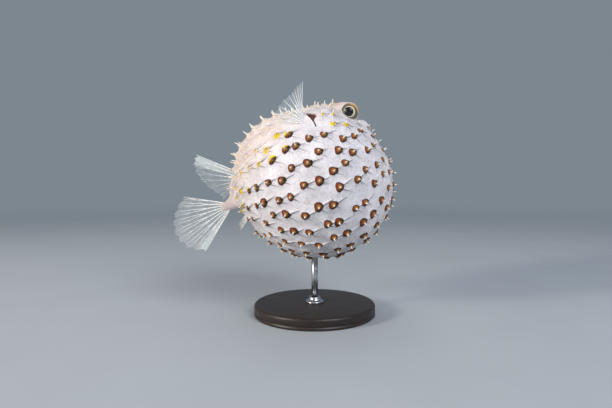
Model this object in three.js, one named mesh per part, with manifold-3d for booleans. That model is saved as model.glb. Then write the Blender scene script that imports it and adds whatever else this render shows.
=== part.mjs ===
// An inflated burrfish, life size, held on a display stand.
//
// Sizes are in millimetres and angles in degrees. The fish is built in a frame of its own:
// the origin is the middle of its ball-shaped body, +X points to the snout, +Y to its left
// side and +Z to its back. A nested group then banks it over the stand, whose base lies on
// z = 0 with its centre at the origin.

import * as THREE from 'three';
import { ConvexGeometry } from 'three/addons/geometries/ConvexGeometry.js';
import { mergeVertices } from 'three/addons/utils/BufferGeometryUtils.js';
import Module from 'manifold-3d';

const wasm = await Module();
wasm.setup();

// ---------------------------------------------------------------- driving dimensions

const BALL_RADIUS = 95.5;
const BALL_HEIGHT = 165;
const PITCH = 29.3;
const YAW = 4;
const ROLL = 33;

const GAP = 0.3;
const SNOUT_TILT = 18.5;
const TAIL_TILT = 15.2;

const BELLY_TOP = 8;
const HEAD_REAR = 31;
const STALK_FRONT = -97;

const SPINE_RADIUS = 3.8;
const SPINE_ON_BELLY = 6;
const SPINE_ON_BACK = 8.5;
const RING_FIRST = 19.1;
const RING_STEP = 9.12;
const RING_COUNT = 17;
const FULL_RING = 55;
const SPINES_PER_RING = 24;
const SPINE_CLEAR = 11.2;
const SPINE_SEED = 1654;
const RING_SLIP = 0.37;
const SPINE_SHIFT = 0.4;

const SKIN_SPACING = 9;
const FACE_SPACING = 5;

const EYE = { centre: [79, 37, 40.5], radius: 11, outlet: [-0.18, 0.68, -0.71] };
const LIDS = { radius: 10.2, flare: 1.5, start: 3.5, end: 23.5 };
const MOUTH = { width: 24, front: 98.8, height: 33 };
const LIP = { half: 2.6, depth: 3.6, apart: 2.9, wrap: 40, pinch: 0.35, recess: 0.29 };
const NOSTRIL = { centre: [86.5, 25, 37], radius: 1.9, height: 2.6, root: 3, rim: 0.4 };
const GILL = { top: [23, 87, 31], bottom: [25, 92, 2], width: 3.4, depth: 3.5 };

const RIB = 1.1;
const WEB = 0.6;
const WEB_REACH = 0.96;
const FIN_THINNING = 0.3;

const ROD_RADIUS = 4;
const ROD_DEPTH = 9;
const BASE_RADIUS = 75;
const BASE_HEIGHT = 14;
const BASE_CHAMFER = 2;
const COLLAR_RADIUS = 11;
const COLLAR_HEIGHT = 7;
const COLLAR_FOOT = 2;
const COLLAR_SLOPE = 4;
const SOCKET_LENGTH = 30;

// ---------------------------------------------------------------- small helpers

const radians = THREE.MathUtils.degToRad;
const vector = (x, y, z) => new THREE.Vector3(x, y, z);
const lerp = THREE.MathUtils.lerp;

// A steady number from 0 to 1 for each pair of whole numbers.
function scatter(i, k) {
  const s = Math.sin(i * 12.9898 + k * 78.233) * 43758.5453;
  return s - Math.floor(s);
}

// Unit vector in the fish's middle plane, turned up from straight back by an angle.
function rearward(angle) {
  return vector(-Math.cos(radians(angle)), 0, Math.sin(radians(angle)));
}

function weld(geometry, tolerance = 1e-3) {
  geometry.deleteAttribute('normal');
  geometry.deleteAttribute('uv');
  return mergeVertices(geometry, tolerance);
}

function toSolid(geometry) {
  const welded = weld(geometry);
  return new wasm.Manifold(new wasm.Mesh({
    numProp: 3,
    vertProperties: new Float32Array(welded.attributes.position.array),
    triVerts: new Uint32Array(welded.index.array),
  }));
}

function toGeometry(solid) {
  const mesh = solid.getMesh();
  const geometry = new THREE.BufferGeometry();
  geometry.setAttribute('position', new THREE.BufferAttribute(mesh.vertProperties, 3));
  geometry.setIndex(new THREE.BufferAttribute(mesh.triVerts, 1));
  return geometry;
}

// Moves every vertex of a geometry by a function of its place.
function reshape(geometry, place) {
  const position = geometry.attributes.position;
  const point = new THREE.Vector3();
  for (let i = 0; i < position.count; i += 1) {
    point.fromBufferAttribute(position, i);
    const moved = place(point);
    position.setXYZ(i, moved.x, moved.y, moved.z);
  }
  return geometry;
}

// Stands a geometry that was made along +Y on a point, along a direction.
function standOn(geometry, foot, direction) {
  const turn = new THREE.Quaternion().setFromUnitVectors(vector(0, 1, 0), direction);
  return geometry.applyQuaternion(turn).translate(foot.x, foot.y, foot.z);
}

// ---------------------------------------------------------------- the body's shape

// Distance fields: negative inside, positive outside.
function blend(a, b, width) {
  const h = Math.max(width - Math.abs(a - b), 0) / width;
  return Math.min(a, b) - h * h * width / 4;
}

function taper(p, start, end, startRadius, endRadius, squeeze = 1) {
  const px = p.x - start[0];
  const py = (p.y - start[1]) * squeeze;
  const pz = p.z - start[2];
  const ax = end[0] - start[0];
  const ay = (end[1] - start[1]) * squeeze;
  const az = end[2] - start[2];
  const share = (px * ax + py * ay + pz * az) / (ax * ax + ay * ay + az * az);
  const along = THREE.MathUtils.clamp(share, 0, 1);
  const away = Math.hypot(px - along * ax, py - along * ay, pz - along * az);
  return away - lerp(startRadius, endRadius, along);
}

// Where the ball is fuller or leaner than a sphere, on both sides alike.
const SWELLS = [
  { toward: [0.37, 0, -0.93], rise: 3, width: 26 },
  { toward: [-0.85, 0, -0.53], rise: -4, width: 24 },
  { toward: [-0.62, 0.5, 0.6], rise: 5.5, width: 27 },
  { toward: [0.97, 0.2, -0.1], rise: -5.5, width: 15 },
  { toward: [0.25, 0.66, 0.7], rise: -7.5, width: 17 },
  { toward: [0.8, 0.55, 0.25], rise: -11, width: 14 },
];
for (const swell of SWELLS) swell.axis = vector(...swell.toward).normalize();

function ballRadius(direction) {
  const mirrored = vector(direction.x, Math.abs(direction.y), direction.z);
  let radius = BALL_RADIUS;
  for (const { axis, rise, width } of SWELLS) {
    const angle = THREE.MathUtils.radToDeg(mirrored.angleTo(axis));
    radius += rise * Math.exp(-((angle / width) ** 2));
  }
  return radius;
}

function bodyDistance(point) {
  const p = vector(point.x, Math.abs(point.y), point.z);
  const ball = p.length() - ballRadius(point.clone().normalize());
  const rump = taper(p, [-55, 0, 36], [-82, 0, 46], 40, 19, 1.25);
  const stalk = taper(p, [-86, 0, 33], [-113, 0, 31], 12, 7.2, 1.35);
  const brow = taper(p, [60, 30, 53.5], [73.5, 31.5, 47.5], 14, 14.4);
  const snout = taper(p, [76, 6, 32], [87, 5, 33.5], 13, 10.5);
  return blend(blend(blend(blend(ball, rump, 14), stalk, 10), brow, 8), snout, 7);
}

// The skin's point along a direction from the middle of the ball.
function skinPoint(direction) {
  let inner = 60;
  let outer = 140;
  for (let i = 0; i < 24; i += 1) {
    const middle = (inner + outer) / 2;
    if (bodyDistance(direction.clone().multiplyScalar(middle)) < 0) inner = middle;
    else outer = middle;
  }
  return direction.clone().multiplyScalar(inner);
}

// Direction for an angle round from the mouth and an angle round from the back, to the right.
function bodyDirection(fromMouth, fromBack) {
  const tilt = lerp(SNOUT_TILT, -TAIL_TILT, fromMouth / 180);
  const polar = radians(fromMouth);
  const round = radians(fromBack);
  const direction = vector(
    Math.cos(polar),
    -Math.sin(polar) * Math.sin(round),
    Math.sin(polar) * Math.cos(round),
  );
  return direction.applyAxisAngle(vector(0, 1, 0), -radians(tilt));
}

// ---------------------------------------------------------------- spines

// Roots of the spines: rings round the mouth-to-tail line, every other ring a little turned.
function spineRoots() {
  const roots = [];
  for (let i = 0; i < RING_COUNT; i += 1) {
    const ring = RING_FIRST + i * RING_STEP;
    const crowd = Math.min(1, Math.sin(radians(ring)) / Math.sin(radians(FULL_RING)));
    const count = 2 * Math.floor(SPINES_PER_RING * crowd / 2) + 1;
    const turn = i % 2 === 0 ? 0.25 : 0;
    for (let k = 0; k < count; k += 1) {
      const slip = (scatter(i + SPINE_SEED, k) - 0.5) * RING_SLIP;
      const shift = (scatter(k, i + 50 + SPINE_SEED) - 0.5) * SPINE_SHIFT;
      const fromBack = 180 + (k - (count - 1) / 2 + turn + shift) * 360 / count;
      const root = skinPoint(bodyDirection(ring + slip * RING_STEP, fromBack));
      if (roots.every((other) => other.distanceTo(root) > SPINE_CLEAR)) roots.push(root);
    }
  }
  return roots;
}

// Spines are shortest under the belly and longest on the back.
function spineHeight(root) {
  const rise = THREE.MathUtils.clamp(0.5 + root.z / BALL_RADIUS / 1.4, 0, 1);
  return lerp(SPINE_ON_BELLY, SPINE_ON_BACK, rise);
}

// The three feet of a spine's tent of skin: two ahead and one behind, on the skin round its root.
function spineFeet(root) {
  const outward = root.clone().normalize();
  const back = vector(-1, 0, 0).addScaledVector(outward, outward.x).normalize();
  return [0, 120, 240].map((turn) => {
    const foot = back.clone().applyAxisAngle(outward, radians(turn)).multiplyScalar(SPINE_RADIUS);
    return root.clone().add(foot).normalize();
  });
}

// ---------------------------------------------------------------- the skin's mesh

// How far apart the skin's plain vertices stand at a point: closest on the face and tail stalk.
function vertexSpacing(point) {
  const toEye = vector(point.x, Math.abs(point.y), point.z).distanceTo(vector(...EYE.centre));
  const toMouth = point.distanceTo(vector(MOUTH.front, 0, MOUTH.height));
  const isFine = toEye < 24 || toMouth < 22 || point.x < STALK_FRONT + 3;
  return isFine ? FACE_SPACING : SKIN_SPACING;
}

// Plain vertices: a fine set of rings, thinned out to the spacing wanted at each place. They
// stay so far from a spine's root that its tip joins to its own feet alone.
function plainVertices(roots, feet) {
  const kept = feet.map((direction) => skinPoint(direction));
  const plain = [];
  for (let fromMouth = 0; fromMouth <= 180; fromMouth += fromMouth < 160 ? 2.5 : 1) {
    const count = Math.ceil(100 * Math.sin(radians(fromMouth))) + 1;
    for (let k = 0; k < count; k += 1) {
      const direction = bodyDirection(fromMouth, 360 * k / count);
      const point = skinPoint(direction);
      const spacing = vertexSpacing(point);
      const isClear = roots.every((root) => root.distanceTo(point) > 2 * SPINE_RADIUS);
      if (isClear && kept.every((other) => other.distanceTo(point) > spacing)) {
        kept.push(point);
        plain.push(direction);
      }
    }
  }
  return plain;
}

// The skin is the hull of unit directions, drawn out to the body's shape. A spine's tip is
// a direction a little longer than one, between its three feet.
const TIP_MARK = 1.0005;

function wholeBody(roots) {
  const feet = roots.flatMap(spineFeet);
  const tips = roots.map((root) => root.clone().normalize().multiplyScalar(TIP_MARK));
  const hull = weld(new ConvexGeometry([...plainVertices(roots, feet), ...feet, ...tips]), 1e-6);
  return toSolid(reshape(hull, (p) => {
    const isTip = p.length() > (1 + TIP_MARK) / 2;
    const direction = p.clone().normalize();
    const point = skinPoint(direction);
    return point.addScaledVector(direction, isTip ? spineHeight(point) : 0);
  }));
}

// ---------------------------------------------------------------- fins

// The plain slot that a fin's root sits in.
function slot(fin) {
  return { ...fin, web: RIB };
}

// A fan of rays. Each ray is a thicker rib and the web between two ribs is thinner and
// shorter. base(u), direction(u) and length(u) follow the fan from its first ray to its last.
function fan({ rays, base, direction, length, sink = 3, web = WEB }, grow = 0) {
  const across = 2 * (rays - 1);
  const box = new THREE.BoxGeometry(1, 1, 1, across, 2, 1);
  return reshape(box, (p) => {
    const u = p.x + 0.5;
    const v = p.y + 0.5;
    const isWeb = Math.round(u * across) % 2 === 1;
    const reach = length(u) * (isWeb ? WEB_REACH : 1);
    const along = direction(u);
    const sideways = base(Math.min(u + 0.01, 1)).sub(base(Math.max(u - 0.01, 0))).normalize();
    const normal = sideways.clone().cross(along).normalize();
    const half = (isWeb ? web : RIB) * (1 - FIN_THINNING * v) / 2 + grow;
    const outwards = lerp(-sink - grow, reach, v);
    return base(u)
      .addScaledVector(sideways, grow * Math.sign(Math.round(u * across) / across - 0.5))
      .addScaledVector(along, outwards)
      .addScaledVector(normal, 2 * p.z * half);
  });
}

const CAUDAL = {
  rays: 9,
  base: (u) => vector(-112.5, 0, lerp(37.4, 23.4, u)),
  direction: (u) => rearward(lerp(43, -37, u)),
  length: (u) => lerp(62, 57, u) + 14 * Math.sin(Math.PI * u),
};

// Its first rays lie close together as a long blade, and its last are short and spread wide.
const DORSAL_LEAN = 22;
const DORSAL = {
  rays: 9,
  base: (u) => vector(lerp(-78, -93, u), 0, lerp(68, 53, u)),
  direction: (u) => {
    const upright = rearward(lerp(53, -20, u ** 1.6));
    return upright.applyAxisAngle(vector(1, 0, 0), radians(DORSAL_LEAN));
  },
  length: (u) => lerp(65, 22, THREE.MathUtils.smoothstep(u, 0.15, 0.95)),
};

const ANAL = {
  rays: 6,
  base: (u) => vector(lerp(-92.5, -95, u), 0, lerp(1, 7, u)),
  direction: (u) => rearward(lerp(-36, -32, u)),
  length: (u) => lerp(20, 15, u),
  sink: 5,
};

const PECTORAL_SWEEP = [vector(16.5, 25.7, 15.5), vector(0.5, 14, 28), vector(-31, 7, 22)];
for (const sweep of PECTORAL_SWEEP) sweep.normalize();

function pectoral(side) {
  const [front, middle, rear] = PECTORAL_SWEEP;
  return {
    rays: 11,
    base: (u) => vector(lerp(23, 16, u), side * lerp(85, 93, u), lerp(37, 13, u)),
    direction: (u) => {
      const early = front.clone().lerp(middle, Math.min(2 * u, 1));
      const swept = early.lerp(rear, Math.max(2 * u - 1, 0));
      swept.y *= side;
      return swept.normalize();
    },
    length: (u) => 34 - 5 * Math.sin(Math.PI * u) + 4 * u,
    sink: 2.5,
  };
}

// ---------------------------------------------------------------- face

function mirrored(triple, side) {
  return vector(triple[0], side * triple[1], triple[2]);
}

function eyeball(side, grow = 0) {
  const outlet = mirrored(EYE.outlet, side).normalize();
  const ball = new THREE.SphereGeometry(EYE.radius + grow, 16, 10);
  return standOn(ball, mirrored(EYE.centre, side), outlet);
}

// The open way out of the eye socket, between the lids.
function lidOpening(side) {
  const { radius, flare, start, end } = LIDS;
  const outlet = mirrored(EYE.outlet, side).normalize();
  const middle = mirrored(EYE.centre, side).addScaledVector(outlet, (start + end) / 2);
  return standOn(new THREE.CylinderGeometry(radius + flare, radius, end - start, 18), middle, outlet);
}

// A lip: a flattened bar that wraps back round the snout at both corners of the mouth.
function lip(offset, grow = 0) {
  const ball = new THREE.SphereGeometry(1, 12, 8);
  return reshape(ball, (p) => {
    const y = p.y * (MOUTH.width / 2 + grow);
    const front = MOUTH.front - LIP.recess - y * y / LIP.wrap;
    const closing = 1 - LIP.pinch * (2 * y / MOUTH.width) ** 2;
    const z = MOUTH.height + p.z * (LIP.half + grow) + offset * closing;
    return vector(front - LIP.depth + p.x * (LIP.depth + grow), y, z);
  });
}

// A nostril: a short tube with a rounded rim.
function nostril(side, grow = 0) {
  const { radius, height, root, rim } = NOSTRIL;
  const bore = radius * 0.45;
  const foot = [[0, -root - grow], [radius + grow, -root - grow]];
  const top = grow > 0
    ? [[radius + grow, height], [0, height]]
    : [[radius, height - rim], [radius - rim, height], [bore, height - rim], [bore, 0], [0, 0]];
  const profile = [...foot, ...top].map(([x, y]) => new THREE.Vector2(x, y));
  const lathe = new THREE.LatheGeometry(profile, 10);
  const outward = mirrored(NOSTRIL.centre, side).normalize();
  return standOn(lathe, skinPoint(outward), outward);
}

// The gill opening: a groove just ahead of the pectoral fin.
function gillGroove(side) {
  const top = mirrored(GILL.top, side);
  const bottom = mirrored(GILL.bottom, side);
  const middle = top.clone().lerp(bottom, 0.5);
  const groove = new THREE.SphereGeometry(1, 10, 8);
  groove.scale(GILL.width / 2, top.distanceTo(bottom) / 2, GILL.depth);
  const outward = middle.clone().normalize();
  const down = bottom.clone().sub(top).normalize();
  const across = down.clone().cross(outward).normalize();
  const frame = new THREE.Matrix4().makeBasis(across, down, across.clone().cross(down));
  return groove.applyMatrix4(frame).translate(...outward.multiplyScalar(BALL_RADIUS - 0.5).toArray());
}

// ---------------------------------------------------------------- the stand

const fishTurn = new THREE.Matrix4().makeRotationY(-radians(PITCH))
  .multiply(new THREE.Matrix4().makeRotationZ(radians(YAW)))
  .multiply(new THREE.Matrix4().makeRotationX(-radians(ROLL)));

const rodTop = BALL_HEIGHT - BALL_RADIUS + ROD_DEPTH;

// The rod's axis, seen from the fish's own frame.
const rodDown = vector(0, 0, -1).transformDirection(fishTurn.clone().invert());

function rodSocket() {
  const bore = new THREE.CylinderGeometry(ROD_RADIUS + GAP, ROD_RADIUS + GAP, SOCKET_LENGTH, 24);
  const toMiddle = BALL_RADIUS - ROD_DEPTH - GAP + SOCKET_LENGTH / 2;
  return standOn(bore, rodDown.clone().multiplyScalar(toMiddle), rodDown);
}

function standBase() {
  const profile = [
    [0, 0],
    [BASE_RADIUS, 0],
    [BASE_RADIUS, BASE_HEIGHT - BASE_CHAMFER],
    [BASE_RADIUS - BASE_CHAMFER, BASE_HEIGHT],
    [0, BASE_HEIGHT],
  ];
  return new THREE.LatheGeometry(profile.map(([x, y]) => new THREE.Vector2(x, y)), 48);
}

function standCollar() {
  const inner = ROD_RADIUS + GAP;
  const profile = [
    [inner, 0],
    [COLLAR_RADIUS, 0],
    [COLLAR_RADIUS, COLLAR_FOOT],
    [COLLAR_RADIUS - COLLAR_SLOPE, COLLAR_HEIGHT],
    [inner, COLLAR_HEIGHT],
    [inner, 0],
  ];
  return new THREE.LatheGeometry(profile.map(([x, y]) => new THREE.Vector2(x, y)), 24);
}

// ---------------------------------------------------------------- flesh, parted and finished

// A box that reaches from one corner to another.
function block(low, high) {
  const size = vector(...high).sub(vector(...low));
  const middle = vector(...high).add(vector(...low)).multiplyScalar(0.5);
  return toSolid(new THREE.BoxGeometry(...size.toArray()).translate(...middle.toArray()));
}

const FAR = 200;
const CHAMBERS = {
  tail_stalk: block([-FAR, -FAR, -FAR], [STALK_FRONT, FAR, FAR]),
  belly: block([STALK_FRONT + GAP, -FAR, -FAR], [FAR, FAR, BELLY_TOP]),
  back: block([STALK_FRONT + GAP, -FAR, BELLY_TOP + GAP], [HEAD_REAR, FAR, FAR]),
  head: block([HEAD_REAR + GAP, -FAR, BELLY_TOP + GAP], [FAR, FAR, FAR]),
};

// Places where no spine grows, each with how far they keep clear of it.
function bareSpots() {
  const spots = [{ at: rodDown.clone().multiplyScalar(BALL_RADIUS), clear: 12 }];
  spots.push({ at: vector(MOUTH.front, 0, MOUTH.height), clear: 24 });
  for (const side of [-1, 1]) {
    spots.push({ at: mirrored(EYE.centre, side), clear: 22 });
    spots.push({ at: mirrored(NOSTRIL.centre, side), clear: 15 });
    spots.push({ at: mirrored([62, 58, 24], side), clear: 11 });
    for (const u of [0, 0.5, 1]) {
      spots.push({ at: pectoral(side).base(u), clear: 10 });
      spots.push({ at: mirrored(GILL.top, side).lerp(mirrored(GILL.bottom, side), u), clear: 9 });
    }
  }
  for (const fin of [DORSAL, ANAL]) {
    for (const u of [0, 0.5, 1]) spots.push({ at: fin.base(u), clear: 9 });
  }
  return spots;
}

function flesh() {
  const bare = bareSpots();
  const isGrown = (root) => bare.every(({ at, clear }) => root.distanceTo(at) > clear);
  const whole = wholeBody(spineRoots().filter(isGrown));
  const carved = [rodSocket()];
  for (const side of [-1, 1]) {
    carved.push(eyeball(side, GAP), lidOpening(side), nostril(side, GAP), gillGroove(side));
    carved.push(fan(slot(pectoral(side)), GAP));
  }
  for (const offset of [LIP.apart, -LIP.apart]) carved.push(lip(offset, GAP));
  for (const fin of [CAUDAL, DORSAL, ANAL]) carved.push(fan(slot(fin), GAP));
  const body = whole.subtract(wasm.Manifold.union(carved.map(toSolid)));
  const pieces = {};
  for (const [name, chamber] of Object.entries(CHAMBERS)) {
    const parts = body.intersect(chamber).decompose();
    parts.sort((a, b) => b.volume() - a.volume());
    pieces[name] = weld(toGeometry(parts[0]));
  }
  return pieces;
}

// ---------------------------------------------------------------- assembly

function finish(color, roughness, metalness = 0) {
  return new THREE.MeshStandardMaterial({ color, roughness, metalness });
}

function add(group, name, geometry, material) {
  const mesh = new THREE.Mesh(geometry, material);
  mesh.name = name;
  group.add(mesh);
  return mesh;
}

const fish = new THREE.Group();
fish.position.z = BALL_HEIGHT;
fish.quaternion.setFromRotationMatrix(fishTurn);

const pieces = flesh();
add(fish, 'head', pieces.head, finish('#e6ddd6', 0.45));
add(fish, 'back', pieces.back, finish('#e2d3cb', 0.45));
add(fish, 'belly', pieces.belly, finish('#eeecef', 0.45));
add(fish, 'tail_stalk', pieces.tail_stalk, finish('#e3cdc4', 0.45));

for (const [word, side] of [['right', -1], ['left', 1]]) {
  add(fish, `eye_${word}`, eyeball(side), finish('#3d4238', 0.08));
  add(fish, `nostril_${word}`, nostril(side), finish('#cdbdae', 0.5));
  add(fish, `pectoral_fin_${word}`, weld(fan(pectoral(side))), finish('#dfe9e2', 0.35));
}

add(fish, 'lip_upper', lip(LIP.apart), finish('#d9bfb2', 0.4));
add(fish, 'lip_lower', lip(-LIP.apart), finish('#d9bfb2', 0.4));
add(fish, 'dorsal_fin', weld(fan(DORSAL)), finish('#e0e9e6', 0.35));
add(fish, 'anal_fin', weld(fan(ANAL)), finish('#e0e9e6', 0.35));
add(fish, 'caudal_fin', weld(fan(CAUDAL)), finish('#dbe8e8', 0.35));

const stand = new THREE.Group();
stand.rotation.x = Math.PI / 2;
add(stand, 'stand_base', standBase(), finish('#23262a', 0.55));
add(stand, 'stand_collar', standCollar(), finish('#b9bcbf', 0.3, 1)).position.y = BASE_HEIGHT;
const rodLength = rodTop - BASE_HEIGHT;
const rod = new THREE.CylinderGeometry(ROD_RADIUS, ROD_RADIUS, rodLength, 24);
add(stand, 'stand_rod', rod, finish('#c4c7ca', 0.25, 1)).position.y = BASE_HEIGHT + rodLength / 2;

const part = new THREE.Group();
part.add(fish, stand);

export default part;
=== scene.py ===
# The looks of an inflated burrfish on its display stand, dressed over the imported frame.
#
# Shapes are worked out in millimetres in the fish's own frame, where the origin is the middle
# of its ball-shaped body, +X points to the snout, +Y to its left side and +Z to its back.
# to_room() turns such places into metres in the frame that every piece is made in.

from functools import partial
from math import atan2, cos, floor, pi, radians, sin

import bmesh
import bpy
import numpy as np
from mathutils import Matrix, Vector


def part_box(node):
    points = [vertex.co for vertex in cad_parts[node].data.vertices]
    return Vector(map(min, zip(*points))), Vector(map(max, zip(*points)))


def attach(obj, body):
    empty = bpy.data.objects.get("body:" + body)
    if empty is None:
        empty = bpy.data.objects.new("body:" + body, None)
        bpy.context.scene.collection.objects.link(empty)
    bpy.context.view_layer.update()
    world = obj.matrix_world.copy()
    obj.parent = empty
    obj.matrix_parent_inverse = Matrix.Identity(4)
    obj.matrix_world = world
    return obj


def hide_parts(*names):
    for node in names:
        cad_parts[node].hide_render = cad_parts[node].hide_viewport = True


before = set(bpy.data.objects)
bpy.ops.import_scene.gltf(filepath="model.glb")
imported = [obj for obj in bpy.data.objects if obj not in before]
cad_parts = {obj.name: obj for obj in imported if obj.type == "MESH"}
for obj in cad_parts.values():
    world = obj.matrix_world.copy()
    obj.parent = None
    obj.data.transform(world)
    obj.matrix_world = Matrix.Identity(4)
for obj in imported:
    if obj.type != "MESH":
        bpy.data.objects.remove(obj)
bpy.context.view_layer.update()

# ---------------------------------------------------------------- sizes, as in the solids

MM = 0.001
BALL_RADIUS = 95.5
BALL_HEIGHT = 165
PITCH = 29.3
YAW = 4
ROLL = 33

SNOUT_TILT = 18.5
TAIL_TILT = 15.2

SPINE_ON_BELLY = 6
SPINE_ON_BACK = 8.5
RING_FIRST = 19.1
RING_STEP = 9.12
RING_COUNT = 17
FULL_RING = 55
SPINES_PER_RING = 24
SPINE_CLEAR = 11.2
SPINE_SEED = 1654
RING_SLIP = 0.37
SPINE_SHIFT = 0.4

EYE_CENTRE = (79, 37, 40.5)
EYE_RADIUS = 11
EYE_OUTLET = (-0.18, 0.68, -0.71)     # the way out between the lids
MOUTH_WIDTH = 24
MOUTH_FRONT = 98.8
MOUTH_HEIGHT = 33
LIP_HALF = 2.6
LIP_DEPTH = 3.6
LIP_APART = 2.9
LIP_WRAP = 40
LIP_PINCH = 0.35
LIP_RECESS = 0.29
NOSTRIL_CENTRE = (86.5, 25, 37)
NOSTRIL_RADIUS = 1.9
NOSTRIL_HEIGHT = 2.6
NOSTRIL_ROOT = 3
GILL_TOP = (23, 87, 31)
GILL_BOTTOM = (25, 92, 2)
CHEEK_HOLLOW = (62, 58, 24)

SIDES = (("right", -1), ("left", 1))

# ---------------------------------------------------------------- finer sizes, for the looks alone

SKIN_LEVEL = 7           # halvings of the ball that the skin starts from
TENT_REACH = 18          # how far from its root a spine draws the skin
TENT_RADIUS = 2.4        # where a spine's tent of skin has sunk to a third
TENT_SHARE = 0.45        # how much of a spine's height its tent takes
QUILT = 0.9              # how much lower the skin is between spines than round them
QUILT_RADIUS = 7.5
LOBE = 0.14              # how three-cornered a tent and its spot are
LOBE_TURN = 14           # degrees from straight ahead, towards the belly
FOLDS = (                # folds that run out from a spine: turn, length, height, darkness of the painted shadow below
    (0, 18, 2.0, 1.0),
    # this one is mostly the painted shadow that the spine casts
    (50, 15, 0.8, 1.0),
    (118, 10, 0.9, 0.6),
    (-118, 9, 0.6, 0.4),
)
FOLD_TURN = 16           # degrees by which the folds' turns vary
FOLD_SWAY = 0.8          # how far a fold curves aside
FOLD_WIDTH = 1.1
FOLD_REACH = 2.6         # how far aside a fold still marks the skin
FOLD_FINE = 2.0          # how wide a strip along a fold has a finer mesh
CREASE_ASIDE = 1.2       # from a fold's top to the painted shadow line below it
SPOT_RADIUS = 4.9
SPOT_SOFT = 0.35
TIP_RADIUS = 2           # of the golden middle of a spot, partly its own colour and partly a painted highlight
SPOT_DROP = 3.2          # on the back, spots lie on the belly's side of their spines

GILL_DEPTH = 2.6
GILL_WIDTH = (10, 1.5)   # across the gill opening's top, and across its lower end
GILL_BEND = 1.6          # how far ahead it bows
GILL_FLAP = 0.9          # how far its pale flap stands up, and how wide it is
LID_RADIUS = 11.7        # the skin over the eyeball
LID_OPENING = 10.0       # from the way out to the lid's edge
LID_CHORD = 8.9          # the same, where the cheek covers the eye low down behind
EYE_GAZE = (-0.22, 0.8, -0.555)
EYE_BEHIND = 10.2        # the skin behind the open eye, just under its surface
LID_FILLET = 3           # how softly the skin runs on to the eyeball
LID_REACH = 16           # how far from the eye's centre the lids draw the skin
SOCKET_REACH = 18        # the same, where they are open
BROW_TOP = (70, 36, 56)
BROW_FOLD = ((66, 43.4, 58.4), (54.4, 70.2, 27))
TAIL_FROM = -94          # the tail stalk starts here
SLIT_HALF = (2.2, 9)     # half the height and width of the painted shade in the slit between the lips
SLIT_BACK = 80           # it lies ahead of this


def hex_colour(code):
    """An sRGB hex colour as the linear numbers that a shader takes."""
    parts = [int(code[i:i + 2], 16) / 255 for i in (1, 3, 5)]
    return [c / 12.92 if c <= 0.04045 else ((c + 0.055) / 1.055) ** 2.4 for c in parts] + [1.0]


def scatter(i, k):
    """A steady number from 0 to 1 for each pair of whole numbers."""
    s = sin(i * 12.9898 + k * 78.233) * 43758.5453
    return s - floor(s)


def lerp(a, b, t):
    return a + (b - a) * t


def smooth(low, high, value):
    """0 below low, 1 above high, and an even S between them."""
    t = np.clip((value - low) / (high - low), 0, 1)
    return t * t * (3 - 2 * t)


def unit(points):
    return points / np.linalg.norm(points, axis=-1, keepdims=True)


def mirrored(triple, side):
    return np.array([triple[0], side * triple[1], triple[2]], float)


FISH_TURN = np.array(
    Matrix.Rotation(-radians(PITCH), 3, "Y")
    @ Matrix.Rotation(radians(YAW), 3, "Z")
    @ Matrix.Rotation(-radians(ROLL), 3, "X")
)


def to_room(points):
    """Places in the fish's frame, in millimetres, as places in the room, in metres."""
    return (np.asarray(points, float) @ FISH_TURN.T + (0, 0, BALL_HEIGHT)) * MM


def from_room(direction):
    """A direction in the room as one in the fish's frame."""
    return np.asarray(direction, float) @ FISH_TURN


# ---------------------------------------------------------------- the body's shape, as in the solids

def blend(a, b, width):
    """The lesser of two distances, with a fillet of that width where they meet."""
    h = np.maximum(width - np.abs(a - b), 0) / width
    return np.minimum(a, b) - h * h * width / 4


def taper(p, start, end, start_radius, end_radius, squeeze):
    """How far points are from a round bar between two places, flattened sideways by squeeze."""
    flat = np.array([1, squeeze, 1])
    from_start = (p - start) * flat
    axis = (np.array(end, float) - start) * flat
    along = np.clip(from_start @ axis / (axis @ axis), 0, 1)
    away = np.linalg.norm(from_start - along[:, None] * axis, axis=1)
    return away - lerp(start_radius, end_radius, along)


SWELLS = (               # where the ball is fuller or leaner than a sphere: towards, rise, width in degrees
    ((0.37, 0, -0.93), 3, 26),
    ((-0.85, 0, -0.53), -4, 24),
    ((-0.62, 0.5, 0.6), 5.5, 27),
    ((0.97, 0.2, -0.1), -5.5, 15),
    ((0.25, 0.66, 0.7), -7.5, 17),
    ((0.8, 0.55, 0.25), -11, 14),
)
BARS = (                 # blended on to the ball: start, end, their radii, squeeze, the blend's width
    ((-55, 0, 36), (-82, 0, 46), 40, 19, 1.25, 14),            # rump
    ((-86, 0, 33), (-113, 0, 31), 12, 7.2, 1.35, 10),          # tail stalk
    ((60, 30, 53.5), (73.5, 31.5, 47.5), 14, 14.4, 1, 8),      # brows
    ((76, 6, 32), (87, 5, 33.5), 13, 10.5, 1, 7),              # snout
)


def body_distance(points):
    """Negative inside the body, positive outside."""
    p = points * (1, 0, 1) + np.abs(points) * (0, 1, 0)
    away = np.linalg.norm(p, axis=1)
    radius = np.full(len(p), float(BALL_RADIUS))
    for toward, rise, width in SWELLS:
        angle = np.degrees(np.arccos(np.clip((p / away[:, None]) @ unit(np.array(toward)), -1, 1)))
        radius += rise * np.exp(-(angle / width) ** 2)
    distance = away - radius
    for *bar, width in BARS:
        distance = blend(distance, taper(p, *bar), width)
    return distance


def skin_points(directions):
    """The body's outermost points along directions from the middle of the ball."""
    inner = np.full(len(directions), 60.0)
    outer = np.full(len(directions), 140.0)
    for _ in range(24):
        middle = (inner + outer) / 2
        is_inside = body_distance(directions * middle[:, None]) < 0
        inner = np.where(is_inside, middle, inner)
        outer = np.where(is_inside, outer, middle)
    return directions * inner[:, None]


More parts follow.
